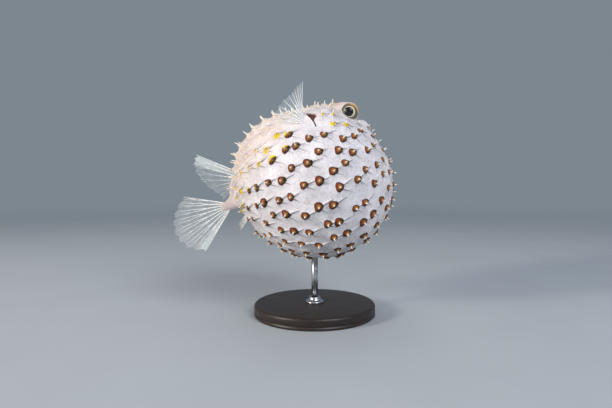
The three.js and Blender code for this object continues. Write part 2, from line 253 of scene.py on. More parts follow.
def body_direction(from_mouth, from_back):
    """Direction for an angle round from the mouth and an angle round from the back, to the right."""
    tilt = radians(lerp(SNOUT_TILT, -TAIL_TILT, from_mouth / 180))
    polar = radians(from_mouth)
    turn = radians(from_back)
    x = cos(polar)
    y = -sin(polar) * sin(turn)
    z = sin(polar) * cos(turn)
    return np.array([x * cos(tilt) - z * sin(tilt), y, x * sin(tilt) + z * cos(tilt)])


# ---------------------------------------------------------------- fins, as in the solids

def rearward(angle, lean=0):
    """Unit vector turned up from straight back by an angle, then leant over to the right."""
    back, up = -cos(radians(angle)), sin(radians(angle))
    return np.array([back, -up * sin(radians(lean)), up * cos(radians(lean))])


DORSAL_LEAN = 22
PECTORAL_SWEEP = unit(np.array([(16.5, 25.7, 15.5), (0.5, 14, 28), (-31, 7, 22)]))


def caudal_fin(u):
    """Root, direction and length of the tail fin's ray at u, from its top edge to its lowest."""
    root = np.array([-112.5, 0, lerp(37.4, 23.4, u)])
    return root, rearward(lerp(43, -37, u)), lerp(62, 57, u) + 14 * sin(pi * u)


def dorsal_fin(u):
    """The back fin: its first rays lie close together as a blade, its last are short and spread."""
    root = np.array([lerp(-78, -93, u), 0, lerp(68, 53, u)])
    length = lerp(65, 22, float(smooth(0.15, 0.95, u)))
    return root, rearward(lerp(53, -20, u ** 1.6), DORSAL_LEAN), length


def anal_fin(u):
    root = np.array([lerp(-92.5, -95, u), 0, lerp(1, 7, u)])
    return root, rearward(lerp(-36, -32, u)), lerp(20, 15, u)


def pectoral_fin(side):
    def at(u):
        root = np.array([lerp(23, 16, u), side * lerp(85, 93, u), lerp(37, 13, u)])
        front, middle, rear = PECTORAL_SWEEP
        swept = lerp(lerp(front, middle, min(2 * u, 1)), rear, max(2 * u - 1, 0)) * (1, side, 1)
        return root, unit(swept), 34 - 5 * sin(pi * u) + 4 * u
    return at


# ---------------------------------------------------------------- spines

def bare_spots():
    """Places where no spine grows, each with how far they keep clear of it."""
    spots = [(from_room((0, 0, -1)) * BALL_RADIUS, 12), (np.array([MOUTH_FRONT, 0, MOUTH_HEIGHT]), 24)]
    for _, side in SIDES:
        spots.append((mirrored(EYE_CENTRE, side), 22))
        spots.append((mirrored(NOSTRIL_CENTRE, side), 15))
        spots.append((mirrored(CHEEK_HOLLOW, side), 11))
        for u in (0, 0.5, 1):
            spots.append((pectoral_fin(side)(u)[0], 10))
            spots.append((lerp(mirrored(GILL_TOP, side), mirrored(GILL_BOTTOM, side), u), 9))
    for fin in (dorsal_fin, anal_fin):
        spots += [(fin(u)[0], 9) for u in (0, 0.5, 1)]
    return spots


def spine_roots():
    """Rings round the mouth-to-tail line, every other ring a little turned."""
    directions = []
    for i in range(RING_COUNT):
        ring = RING_FIRST + i * RING_STEP
        crowd = min(1, sin(radians(ring)) / sin(radians(FULL_RING)))
        count = 2 * floor(SPINES_PER_RING * crowd / 2) + 1
        turn = 0.25 if i % 2 == 0 else 0
        for k in range(count):
            slip = (scatter(i + SPINE_SEED, k) - 0.5) * RING_SLIP
            shift = (scatter(k, i + 50 + SPINE_SEED) - 0.5) * SPINE_SHIFT
            from_back = 180 + (k - (count - 1) / 2 + turn + shift) * 360 / count
            directions.append(body_direction(ring + slip * RING_STEP, from_back))
    kept = []
    for root in skin_points(np.array(directions)):
        if all(np.linalg.norm(other - root) > SPINE_CLEAR for other in kept):
            kept.append(root)
    bare = bare_spots()
    return np.array([r for r in kept if all(np.linalg.norm(r - at) > clear for at, clear in bare)])


ROOTS = spine_roots()


def spine_height(root):
    """The spines are longest on the back; on the head they lie lower, some more than others."""
    rise = min(max(0.5 + root[2] / BALL_RADIUS / 1.4, 0), 1)
    head = smooth(20, 40, root[0]) * smooth(5, 25, root[2])
    short = 1 - head * lerp(0.1, 0.6, scatter(*root[:2]))
    return lerp(SPINE_ON_BELLY, SPINE_ON_BACK, rise) * short * below_eye(root)


def below_eye(root):
    """How small a spine and its spot stay in the hollow under an eye, where 1 is full size."""
    hollow = min(np.linalg.norm(root - mirrored(CHEEK_HOLLOW, side)) for _, side in SIDES)
    return lerp(0.35, 1, float(smooth(17, 22, hollow)))


def spine_frame(root):
    """Outward, ahead and bellyward at a spine's root, each square to the other two."""
    outward = unit(root)
    side = -1 if root[1] < 0 else 1
    ahead = np.array([1.0, 0, 0])
    ahead = unit(ahead - outward * (ahead @ outward))
    bellyward = np.cross(outward, ahead) * side
    return outward, ahead, bellyward


def spot_size(root):
    """Spots are largest on the flank and belly, and smaller on the face, tail and back."""
    x, _, z = root
    face = 0.45 * smooth(20, 45, x) * smooth(-16, 4, z) + 0.35 * smooth(40, 85, x)
    back = 0.4 * smooth(5, 30, z) + 0.3 * smooth(-60, -92, x) + 0.35 * paleness(root)
    return max(float(1 - face - back), 0.3) * below_eye(root)


def paleness(root):
    """How faint a spot is: high on the back, and on the rear of the flank but not by the tail."""
    x, _, z = root
    rear = smooth(-28, -44, x) * smooth(-76, -66, x) * smooth(-4, 6, z)
    return float(np.maximum(smooth(14, 34, z), rear))


def gold_share(root, lower=0.0):
    """How yellow a spot is, at a height of so many millimetres below its spine on the skin."""
    x, _, z = root
    middle = -6.8 + 15 * smooth(-18, -8, x) * smooth(40, 30, x)
    middle += 42 * smooth(60, 82, x) - 5 * smooth(35, 60, x)
    return smooth(-1.6, 1.6, z - middle - 0.8 * lower)


# ---------------------------------------------------------------- meshes

def places(bm):
    return np.array([v.co for v in bm.verts])


def put(bm, points):
    for vert, point in zip(bm.verts, points):
        vert.co = point


def place_object(name, bm, material):
    """Ends a bmesh as an object of that material whose faces look outwards."""
    bmesh.ops.recalc_face_normals(bm, faces=bm.faces)
    mesh = bpy.data.meshes.new(name)
    bm.to_mesh(mesh)
    bm.free()
    mesh.materials.append(material)
    made = bpy.data.objects.new(name, mesh)
    bpy.context.scene.collection.objects.link(made)
    return made


def add_piece(name, bm, points, material, *nodes, slot, **marks):
    """Rides a piece on the body, with its points in metres; it stands for the solids named. Each
    mark is one number, or three, for each vertex, which the material reads by the mark's name."""
    put(bm, points)
    made = place_object(name, bm, material)
    made.data.polygons.foreach_set("use_smooth", [True] * len(made.data.polygons))
    for word, values in marks.items():
        values = np.asarray(values, np.float32)
        kind, field = ("FLOAT", "value") if values.ndim == 1 else ("FLOAT_VECTOR", "vector")
        made.data.attributes.new(word, kind, "POINT").data.foreach_set(field, values.ravel())
    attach(made, "root")
    if nodes:
        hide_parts(*nodes)
    return made


def refine(bm, is_near):
    """Halves the edges of a unit ball's mesh where the skin's points there are wanted finer."""
    near = is_near(skin_points(unit(places(bm))))
    bm.verts.index_update()
    edges = [e for e in bm.edges if near[e.verts[0].index] and near[e.verts[1].index]]
    bmesh.ops.subdivide_edges(bm, edges=edges, cuts=1)
    bmesh.ops.triangulate(bm, faces=[f for f in bm.faces if len(f.verts) > 3])
    put(bm, unit(places(bm)))


def away_from(points, centres):
    """The distance from each point to the nearest of some centres."""
    nearest = np.full(len(points), 1e9)
    for centre in centres:
        nearest = np.minimum(nearest, np.linalg.norm(points - centre, axis=1))
    return nearest


# ---------------------------------------------------------------- the skin

def raise_tents(p, fold_width=FOLD_WIDTH):
    """How the spines lift and mark the skin: under each mark's name, a number for each of the
    points p. x runs ahead from a spine's root and y towards the belly."""
    names = ("ridge", "fold", "crease", "aside", "gold", "tip", "painted_spot_shade", "pale")
    marks = {name: np.zeros(len(p)) for name in names}
    marks["tent"] = np.full(len(p), -QUILT / 2)
    marks["spot"] = np.full(len(p), -2.0 * SPOT_RADIUS)
    for number, root in enumerate(ROOTS):
        near = np.flatnonzero(((p - root) ** 2).sum(1) < TENT_REACH ** 2)
        _, ahead, bellyward = spine_frame(root)
        x, y = (p[near] - root) @ ahead, (p[near] - root) @ bellyward
        r, turn = np.hypot(x, y), np.degrees(np.arctan2(y, x))
        corner = np.cos(np.radians(3 * (turn - LOBE_TURN)))
        foot = TENT_RADIUS * (1 + LOBE * corner)
        tent = spine_height(root) * TENT_SHARE * np.exp(-(r / foot) ** 1.15)
        tent += QUILT * (np.exp(-(r / QUILT_RADIUS) ** 2) - 0.5)
        marks["tent"][near] = np.maximum(marks["tent"][near], tent)
        draw_folds(marks, near, number, root, x, y, fold_width)
        lean = 360 * scatter(number, 5)
        shape = 1 + 0.08 * corner + 0.07 * np.cos(np.radians(2 * (turn - lean)))
        draw_spot(marks, near, number, root, x, y, shape)
    return marks


def draw_folds(marks, near, number, root, x, y, fold_width):
    """Marks the folds that run out from one spine, with a painted highlight on their tops and a
    painted shadow below them; where two cross, the stronger one shows.
    """
    plain = 1 - 0.6 * smooth(0, 40, root[2])
    for k, (angle, length, rise, dark) in enumerate(FOLDS):
        angle = radians(angle + FOLD_TURN * (scatter(number, k + 7) - 0.5))
        length *= 0.7 + 0.6 * scatter(number, k + 17)
        along = x * cos(angle) + y * sin(angle)
        aside = -x * sin(angle) + y * cos(angle)
        aside = aside + FOLD_SWAY * sin(6 * scatter(number, k)) * (along / length) ** 2
        fade = plain * np.clip(1 - along / length, 0, 1) * np.clip(along / 2, 0, 1)
        ridge = rise * fade * np.exp(-(aside / fold_width) ** 2)
        marks["ridge"][near] = np.maximum(marks["ridge"][near], ridge)
        fold = rise * fade * smooth(FOLD_REACH, 0.6 * FOLD_REACH, np.abs(aside - CREASE_ASIDE / 2))
        chosen = fold + 0.01 * dark * fade > marks["fold"][near]
        marks["fold"][near[chosen]] = fold[chosen]
        marks["aside"][near[chosen]] = aside[chosen]
        # crease: how dark the painted shadow below the fold is
        marks["crease"][near[chosen]] = (dark / rise * fold)[chosen]


def draw_spot(marks, near, number, root, x, y, shape):
    """Marks the spot round one spine; spot is how far inside its edge a place lies."""
    size = spot_size(root) * (0.86 + 0.28 * scatter(number, 3))
    edge = SPOT_RADIUS * size * shape - np.hypot(x, y - SPOT_DROP * smooth(4, 34, root[2]))
    chosen = edge > marks["spot"][near]
    x, y, closer = x[chosen], y[chosen], near[chosen]
    marks["spot"][closer] = edge[chosen]
    marks["gold"][closer] = gold_share(root, y / size)
    # A golden middle round the spine: partly its own colour, partly a painted highlight on the tent's peak.
    marks["tip"][closer] = np.exp(-(np.hypot(x - 0.3, y) / TIP_RADIUS) ** 2)
    # Painted shade: the spot's brown is drawn darker towards its ahead-and-bellyward side.
    marks["painted_spot_shade"][closer] = (x + y) / SPOT_RADIUS
    marks["pale"][closer] = paleness(root)


def sink_gill(p, side):
    """The gill opening: how far the skin sinks, the painted shade in its hollow and its pale flap."""
    top, bottom = mirrored(GILL_TOP, side), mirrored(GILL_BOTTOM, side)
    down, half = unit(bottom - top), np.linalg.norm(bottom - top) / 2
    outward = unit((top + bottom) / 2)
    ahead = unit(np.cross(down, outward) * side)
    offset = p - (top + bottom) / 2
    along, across = offset @ down / half, offset @ ahead
    is_here = (offset @ outward > -20) & (np.abs(along) < 1)
    hump = np.clip(1 - along ** 2, 0, 1) ** 0.35
    rear = GILL_BEND * hump ** 2
    width = lerp(*GILL_WIDTH, smooth(-0.4, 0.35, along)) * hump
    gap = np.abs(across - rear - width / 2) - width / 2
    # Painted shade in the gill's hollow.
    pocket_shade = smooth(0.5, -0.1, gap) * is_here
    sink = GILL_DEPTH * smooth(1.0, -0.6, gap) * is_here
    flap = np.exp(-((across - rear + 0.7) / GILL_FLAP) ** 2) * hump * is_here
    return sink, pocket_shade, flap


def lid_line(side):
    """The side of the eye, low down behind, where the cheek cuts straight across it."""
    return unit(from_room((-0.6, 0, -0.8))) * (1, -side, 1)


def open_lids(p, side):
    """Draws the skin over the eyeball, and behind it where the lids are open."""
    centre, outlet = mirrored(EYE_CENTRE, side), unit(mirrored(EYE_OUTLET, side))
    offset = p - centre
    away = np.linalg.norm(offset, axis=1)
    ahead = offset @ outlet
    aside = np.linalg.norm(offset - ahead[:, None] * outlet, axis=1)
    over = away - LID_RADIUS
    lifted = LID_RADIUS - blend(-over, 0, LID_FILLET)
    is_open = (ahead > 0) & (aside < LID_OPENING) & (offset @ lid_line(side) < LID_CHORD)
    reach = np.where(away < LID_REACH, lifted, away)
    reach = np.where(is_open & (away < SOCKET_REACH), EYE_BEHIND, reach)
    return centre + offset * (reach / np.maximum(away, 1e-6))[:, None]


def fold_marks(p):
    """Tan folds: behind each brow, and at the front of the back fin."""
    tan = np.exp(-(away_from(p, [dorsal_fin(0)[0] + (2, 0, 1)]) / 3.2) ** 2)
    for _, side in SIDES:
        brow = away_from(p, [mirrored(BROW_TOP, side)])
        tan = np.maximum(tan, 0.48 * np.exp(-(brow / 15) ** 2))
        start, end = [mirrored(at, side) for at in BROW_FOLD]
        line = taper(p, start, end, 0, 0, 1)
        tan = np.maximum(tan, 0.8 * np.exp(-(line / 1.1) ** 2))
    return tan


def make_skin(material):
    """One skin over the whole fish, finer round what is small on it, with every mark it carries."""
    bm = bmesh.new()
    bmesh.ops.create_icosphere(bm, subdivisions=SKIN_LEVEL, radius=1)
    eyes = [mirrored(EYE_CENTRE, side) for _, side in SIDES]
    gills = [lerp(mirrored(GILL_TOP, side), mirrored(GILL_BOTTOM, side), u)
             for _, side in SIDES for u in (0, 0.25, 0.5, 0.75, 1)]
    mouth = [np.array([MOUTH_FRONT, 0, MOUTH_HEIGHT])]
    refine(bm, lambda p: (raise_tents(p, FOLD_FINE)["ridge"] > 0.6) | (away_from(p, ROOTS) < 4.6)
           | (away_from(p, eyes) < 20) | (away_from(p, gills) < 8) | (away_from(p, mouth) < 16)
           | (p[:, 0] < TAIL_FROM))
    refine(bm, lambda p: (away_from(p, eyes) < 16) | (away_from(p, gills) < 6) | (away_from(p, ROOTS) < 1.9))
    refine(bm, lambda p: away_from(p, eyes) < 13.5)
    p = skin_points(unit(places(bm)))

    marks = raise_tents(p)
    quiet = smooth(14, 24, away_from(p, eyes)) * smooth(10, 22, away_from(p, mouth))
    lift = lerp(0, marks["tent"] + marks["ridge"] * quiet, smooth(12, 15, away_from(p, eyes)))
    marks["pocket_shade"], marks["flap"] = np.zeros(len(p)), np.zeros(len(p))
    for _, side in SIDES:
        sink, pocket_shade, flap = sink_gill(p, side)
        lift += GILL_FLAP * flap - sink
        marks["pocket_shade"] = np.maximum(marks["pocket_shade"], pocket_shade)
        marks["flap"] = np.maximum(marks["flap"], flap)
    tall, wide = SLIT_HALF
    # Painted shade in the slit between the lips.
    slit_shade = smooth(tall, tall - 1, np.abs(p[:, 2] - MOUTH_HEIGHT)) * smooth(wide, wide - 2, np.abs(p[:, 1]))
    marks["pocket_shade"] = np.maximum(marks["pocket_shade"], slit_shade * (p[:, 0] > SLIT_BACK))
    moved = p + unit(p) * lift[:, None]
    for _, side in SIDES:
        moved = open_lids(moved, side)

    round_tail = unit(p @ np.array([[0, 0.26], [1, 0], [0, 0.97]]) + 1e-9)
    marks["around"] = np.column_stack([round_tail, -p[:, 0] / BALL_RADIUS / 4]) * BALL_RADIUS * MM
    marks["tailward"] = smooth(-72, -96, p[:, 0])
    marks["back"] = smooth(-12, 52, p[:, 2] - 0.25 * p[:, 0]) * (1 - 0.5 * marks["tailward"])
    marks["tan"] = fold_marks(p)
    marks["fish"] = p * MM
    flesh = ("head", "back", "belly", "tail_stalk")
    add_piece("skin", bm, to_room(moved), material, *flesh, slot="skin", **marks)


# ---------------------------------------------------------------- materials

def new_material(name):
    """A material, its shader, and node() made ready to add to its tree."""
    material = bpy.data.materials.new(name)
    material.use_nodes = True
    tree = material.node_tree
    return material, tree.nodes["Principled BSDF"], partial(node, tree)


def feed(made, inputs):
    """Gives a node its inputs, by name or number: values, hex colours, or other nodes' outputs."""
    for key, value in inputs.items():
        if isinstance(value, bpy.types.NodeSocket):
            made.id_data.links.new(value, made.inputs[key])
        else:
            made.inputs[key].default_value = hex_colour(value) if isinstance(value, str) else value


def node(tree, kind, inputs, output=0, **settings):
    """Adds a node with its settings and links, and hands back one of its outputs."""
    made = tree.nodes.new("ShaderNode" + kind)
    for key, value in settings.items():
        setattr(made, key, value)
    feed(made, inputs)
    return made.outputs[output]


def per(size_mm):
    """The scale of a noise whose blobs are so many millimetres across."""
    return 1 / (size_mm * MM)


SKIN_MARKS = ("back", "tailward", "aside", "fold", "crease", "tan", "painted_spot_shade", "pale", "gold", "tip",
              "spot", "pocket_shade", "flap")


def burrfish_skin():
    """Living burrfish skin: thin, taut and wet, white below and rosy above, so it has a broad soft
    shine; a reddish brown or yellow spot sits round each spine, with painted shade on one side and
    a golden middle that is partly a painted highlight, and fine folds run out from it, each with a
    painted highlight on its top and a painted shadow below."""
    material, shader, add = new_material("burrfish_skin")
    place = add("Attribute", {}, "Vector", attribute_name="fish")
    around = add("Attribute", {}, "Vector", attribute_name="around")
    back, tailward, aside, fold, crease, tan, painted_spot_shade, pale, gold, tip, edge, pocket_shade, flap = [
        add("Attribute", {}, "Fac", attribute_name=word) for word in SKIN_MARKS]
    blotch = add("TexNoise", {"Vector": place, "Scale": per(22), "Detail": 4, "Roughness": 0.6})
    fine = add("TexNoise", {"Vector": place, "Scale": per(3), "Detail": 5, "Roughness": 0.65})
    pores = add("TexNoise", {"Vector": place, "Scale": per(0.9), "Detail": 2})
    fibres = add("TexNoise", {"Vector": around, "Scale": per(3.2), "Detail": 4, "Roughness": 0.6})

    cool = add("MapRange", {0: blotch, 1: 0.35, 2: 0.7})
    belly = add("Mix", {0: cool, 6: "#f4eff0", 7: "#d3cfd2"}, 2, data_type="RGBA")
    rosy = add("Mix", {0: cool, 6: "#f4e8e0", 7: "#e2ccc0"}, 2, data_type="RGBA")
    thread = add("MapRange", {0: fibres, 1: 0.52, 2: 0.72, 4: 0.55})
    streaky = add("Mix", {0: thread, 6: rosy, 7: "#a98875"}, 2, data_type="RGBA")
    skin = add("Mix", {0: back, 6: belly, 7: streaky}, 2, data_type="RGBA")
    freckle = add("MapRange", {0: fine, 1: 0.47, 2: 0.7, 4: 0.4})

    wrinkle = add("MapRange", {0: fibres, 1: 0.46, 2: 0.58, 4: 0.4})
    wrinkle = add("Math", {0: wrinkle, 1: tailward}, operation="MULTIPLY")
    # A fold's top: the height of its bump, and a painted highlight.
    top = add("Math", {0: aside}, operation="ABSOLUTE")
    top = add("MapRange", {0: top, 1: 0.0, 2: 1.2, 3: 1.0, 4: 0.0}, interpolation_type="SMOOTHSTEP")
    fold = add("Math", {0: top, 1: fold}, operation="MULTIPLY")
    # A painted shadow line just below each fold.
    below = add("Math", {0: aside, 1: CREASE_ASIDE}, operation="SUBTRACT")
    below = add("Math", {0: below}, operation="ABSOLUTE")
    below = add("MapRange", {0: below, 1: 0.1, 2: 0.95, 3: 1.0, 4: 0.0}, interpolation_type="SMOOTHSTEP")
    crease = add("Math", {0: below, 1: crease}, operation="MULTIPLY")
    # Freckles, wrinkles by the tail, a painted highlight on fold tops, the painted shadow below them and tan
    # folds.
    for share, colour in ((freckle, "#a0918f"), (wrinkle, "#a07e70"), (fold, "#fffcfa"),
                          (crease, "#5b4f4b"), (tan, "#967648")):
        skin = add("Mix", {0: share, 6: skin, 7: colour}, 2, data_type="RGBA")

    # Painted shade: each spot's brown runs from a lit tone to a shaded one across it.
    painted_spot_shade = add("MapRange", {0: painted_spot_shade, 1: -0.9, 2: 0.55})
    brown = add("Mix", {0: painted_spot_shade, 6: "#85300f", 7: "#2c0e07"}, 2, data_type="RGBA")
    mottle = add("MapRange", {0: fine, 1: 0.45, 2: 0.7, 4: 0.6})
    brown = add("Mix", {0: mottle, 6: brown, 7: "#330f06"}, 2, data_type="RGBA")
    yellow = add("Mix", {0: pale, 6: "#f8d908", 7: "#f0e0ae"}, 2, data_type="RGBA")
    spot = add("Mix", {0: gold, 6: brown, 7: yellow}, 2, data_type="RGBA")
    # The golden middle: partly the spot's own colour, partly a painted highlight on the tent's peak.
    tip = add("Math", {0: tip, 1: 0.9}, operation="MULTIPLY")
    spot = add("Mix", {0: tip, 6: spot, 7: "#e9a84c"}, 2, data_type="RGBA")

    uneven = add("Math", {0: fine, 1: 1.8, 2: -0.9}, operation="MULTIPLY_ADD")
    edge = add("Math", {0: edge, 1: uneven}, operation="ADD")
    rim = add("MapRange", {0: edge, 1: 0.3, 2: 1.6, 3: 0.6, 4: 0.0})
    not_gold = add("Math", {0: 1.0, 1: gold}, operation="SUBTRACT")
    rim = add("Math", {0: rim, 1: not_gold}, operation="MULTIPLY")
    spot = add("Mix", {0: rim, 6: spot, 7: "#2a0d05"}, 2, data_type="RGBA")
    is_spot = add("MapRange", {0: edge, 1: -SPOT_SOFT, 2: SPOT_SOFT})
    # Spots, the painted shade in the gill's hollow and the mouth's slit, and the pale gill flap.
    for share, colour in ((is_spot, spot), (pocket_shade, "#521a10"), (flap, "#f8efea")):
        skin = add("Mix", {0: share, 6: skin, 7: colour}, 2, data_type="RGBA")

    rough = add("MapRange", {0: is_spot, 3: 0.54, 4: 0.62})
    height = add("Math", {0: pores, 1: 0.3, 2: fibres}, operation="MULTIPLY_ADD")
    height = add("Math", {0: fold, 1: 2.2, 2: height}, operation="MULTIPLY_ADD")
    normal = add("Bump", {"Strength": 0.8, "Distance": 0.0006, "Height": height})
    feed(shader, {
        "Base Color": skin,
        "Roughness": rough,
        "Specular IOR Level": 0.35,
        "Subsurface Weight": 0.06,
        "Subsurface Radius": (0.003, 0.0015, 0.001),
        "Subsurface Scale": 1.0,
        "Coat Weight": 0.03,
        "Coat Roughness": 0.3,
        "Normal": normal,
    })
    return material


def spine_ivory():
    """A burrfish's spine: dense bone, golden where it leaves the skin and ivory at its bare tip."""
    material, shader, add = new_material("spine_ivory")
    place = add("Attribute", {}, "Vector", attribute_name="fish")
    white = add("Attribute", {}, "Fac", attribute_name="white")
    up = add("Attribute", {}, "Fac", attribute_name="up")
    bareness = add("MapRange", {0: up, 1: 0.05, 2: 0.35})
    grain = add("TexNoise", {"Vector": place, "Scale": per(0.8), "Detail": 3})
    stain = add("MapRange", {0: grain, 1: 0.5, 2: 0.8, 4: 0.4})
    bone = "#a8662c"
    for share, colour in ((white, "#efe0c4"), (bareness, "#fdf6e8"), (stain, "#d8b98a")):
        bone = add("Mix", {0: share, 6: bone, 7: colour}, 2, data_type="RGBA")
    feed(shader, {
        "Base Color": bone,
        "Roughness": 0.3,
        "Subsurface Weight": 0.05,
        "Subsurface Radius": (0.002, 0.001, 0.0007),
    })
    return material


def burrfish_eye():
    """A burrfish's eye: a wet dome over a blue-black pupil, a thin white and gold ring and an olive
    iris with darker lines, so one sharp glint lies on it."""
    material, shader, add = new_material("burrfish_eye")
    disc = add("Attribute", {}, "Vector", attribute_name="disc")
    across, up, angle = add("SeparateXYZ", {0: disc}).node.outputs
    place = add("TexCoord", {}, "Object")
    fleck = add("TexNoise", {"Vector": place, "Scale": per(1.4), "Detail": 4, "Roughness": 0.7})
    ragged = add("Math", {0: fleck, 1: 3.0, 2: angle}, operation="MULTIPLY_ADD")
    crest = add("Math", {0: across, 1: 0.9}, operation="MULTIPLY")
    crest = add("Math", {0: up, 1: 0.3, 2: crest}, operation="MULTIPLY_ADD")

    lines = add("TexNoise", {"W": ragged, "Scale": 0.3, "Detail": 2}, noise_dimensions="1D")
    lines = add("MapRange", {0: lines, 1: 0.38, 2: 0.56})
    glitter = add("MapRange", {0: fleck, 1: 0.5, 2: 0.7, 4: 0.5})
    rim = add("MapRange", {0: angle, 1: 56, 2: 64})
    front = add("MapRange", {0: crest, 1: 0.35, 2: 0.75})
    rim = add("Math", {0: rim, 1: front}, operation="MULTIPLY")
    iris = "#2e3128"
    for share, colour in ((lines, "#8e8c70"), (glitter, "#cbbd90"), (rim, "#bd8437")):
        iris = add("Mix", {0: share, 6: iris, 7: colour}, 2, data_type="RGBA")

    front = add("MapRange", {0: crest, 1: -0.2, 2: 0.5})
    ring = add("Mix", {0: front, 6: "#dcdccb", 7: "#f4e6bf"}, 2, data_type="RGBA")
    low = add("Math", {0: across, 1: up}, operation="SUBTRACT")
    edge = add("Math", {0: low, 1: 6.0, 2: 37.5}, operation="MULTIPLY_ADD")
    past_ring = add("Math", {0: angle, 1: edge}, operation="SUBTRACT")
    past_ring = add("MapRange", {0: past_ring, 1: -0.8, 2: 0.8})
    colour = add("Mix", {0: past_ring, 6: ring, 7: iris}, 2, data_type="RGBA")
    past_pupil = add("MapRange", {0: angle, 1: 30.5, 2: 32.0})
    colour = add("Mix", {0: past_pupil, 6: "#05070d", 7: colour}, 2, data_type="RGBA")
    feed(shader, {"Base Color": colour, "Roughness": 0.35, "Coat Weight": 0.12, "Coat Roughness": 0.05})
    return material


def wet_flesh(name, light, dark, warm):
    """Moist bare flesh, as on a fish's lips and lids: smooth and finely creased, with a soft shine and,
    on a lid, a painted glow of light shining through its front edge.
    """
    material, shader, add = new_material(name)
    place = add("TexCoord", {}, "Object")
    crease = add("TexNoise", {"Vector": place, "Scale": per(1.6), "Detail": 4, "Roughness": 0.6})
    shadow = add("MapRange", {0: crease, 1: 0.35, 2: 0.68})
    flesh = add("Mix", {0: shadow, 6: light, 7: dark}, 2, data_type="RGBA")
    # A painted glow, as of light shining through a lid's edge.
    painted_glow_share = add("Attribute", {}, "Fac", attribute_name="warm")
    flesh = add("Mix", {0: painted_glow_share, 6: flesh, 7: warm}, 2, data_type="RGBA")
    normal = add("Bump", {"Strength": 0.4, "Distance": 0.0004, "Height": crease})
    feed(shader, {
        "Base Color": flesh,
        "Roughness": 0.35,
        "Subsurface Weight": 0.08,
        "Subsurface Radius": (0.003, 0.0012, 0.0008),
        "Normal": normal,
    })
    return material


def fin_web():
    """A fin's web: clear, faintly green skin a third of a millimetre thick, so what lies behind it
    shows through, less so near its root and where its rays lie close."""
    material, shader, add = new_material("fin_web")
    out = add("Attribute", {}, "Fac", attribute_name="out")
    dense = add("Attribute", {}, "Fac", attribute_name="dense")
    span = add("Attribute", {}, "Vector", attribute_name="span")
    strands = add("Mapping", {"Vector": span, "Scale": (1, 0.1, 1)})
    strands = add("TexNoise", {"Vector": strands, "Scale": per(0.8), "Detail": 3, "Roughness": 0.6})
    milk = add("MapRange", {0: strands, 1: 0.35, 2: 0.7})
    web = add("Mix", {0: milk, 6: "#c3d6d4", 7: "#f3f6f3"}, 2, data_type="RGBA")
    solid = add("MapRange", {0: out, 1: 0.0, 2: 0.9, 3: 0.12, 4: 0.04})
    solid = add("Math", {0: milk, 1: 0.09, 2: solid}, operation="MULTIPLY_ADD")
    solid = add("Math", {0: dense, 1: 0.33, 2: solid}, operation="MULTIPLY_ADD")
    feed(shader, {"Base Color": web, "Alpha": solid, "Roughness": 0.3})
    return material


def fin_ray():
    """A fin's ray: soft jointed bone, milky white, clearer towards its fine end."""
    material, shader, add = new_material("fin_ray")
    out = add("Attribute", {}, "Fac", attribute_name="out")
    reach = add("CombineXYZ", {0: out})
    # Real joints are about 0.8 mm apart; they are drawn some 3 mm apart so that they show.
    joints = add("TexWave", {"Vector": reach, "Scale": 7.0, "Distortion": 0.0}, 1)
    joints = add("MapRange", {0: joints, 1: 0.12, 2: 0.0, 4: 0.35})
    bone = add("Mix", {0: joints, 6: "#fcfdfb", 7: "#bcc8c5"}, 2, data_type="RGBA")
    solid = add("MapRange", {0: out, 1: 0.4, 2: 1.0, 3: 1.0, 4: 0.15})
    feed(shader, {
        "Base Color": bone,
        "Alpha": solid,
        "Roughness": 0.35,
        "Subsurface Weight": 0.1,
        "Subsurface Radius": (0.002, 0.002, 0.002),
    })
    return material


def stained_wood():
    """Turned hardwood, stained near black and rubbed with wax: the grain shows as fine lines."""
    material, shader, add = new_material("stained_wood")
    place = add("TexCoord", {}, "Object")
    along = add("Mapping", {"Vector": place, "Scale": (0.07, 1, 1)})
    grain = add("TexNoise", {"Vector": along, "Scale": per(1.8), "Detail": 5, "Distortion": 0.4})
    broad = add("TexNoise", {"Vector": along, "Scale": per(14), "Detail": 2})
    line = add("MapRange", {0: grain, 1: 0.35, 2: 0.7})
    figure = add("MapRange", {0: broad, 1: 0.3, 2: 0.8, 4: 0.5})
    wood = "#2f2420"
    for share, colour in ((line, "#171210"), (figure, "#3b2b22")):
        wood = add("Mix", {0: share, 6: wood, 7: colour}, 2, data_type="RGBA")
    wax = add("MapRange", {0: grain, 3: 0.34, 4: 0.52})
    normal = add("Bump", {"Strength": 0.25, "Distance": 0.0003, "Height": grain})
    feed(shader, {"Base Color": wood, "Roughness": wax, "Normal": normal})
    return material


def brushed_steel():
    """Stainless steel brushed round: fine rings of scratches spread its glints up and down."""
    material, shader, add = new_material("brushed_steel")
    place = add("TexCoord", {}, "Object")
    # Real brush lines are 0.05 mm apart; they are drawn 0.4 mm apart so that they show.
    rings = add("Mapping", {"Vector": place, "Scale": (0.04, 0.04, 1)})
    brush = add("TexNoise", {"Vector": rings, "Scale": per(0.4), "Detail": 2})
    steel = add("Mix", {0: brush, 6: "#b4b6b8", 7: "#d2d4d6"}, 2, data_type="RGBA")
    rough = add("MapRange", {0: brush, 3: 0.2, 4: 0.4})
    normal = add("Bump", {"Strength": 0.15, "Distance": 0.0002, "Height": brush})
    feed(shader, {"Base Color": steel, "Metallic": 1.0, "Roughness": rough, "Normal": normal})
    return material


BACKDROP = "#8f9aa4"
BACKDROP_GLOW = 0.75


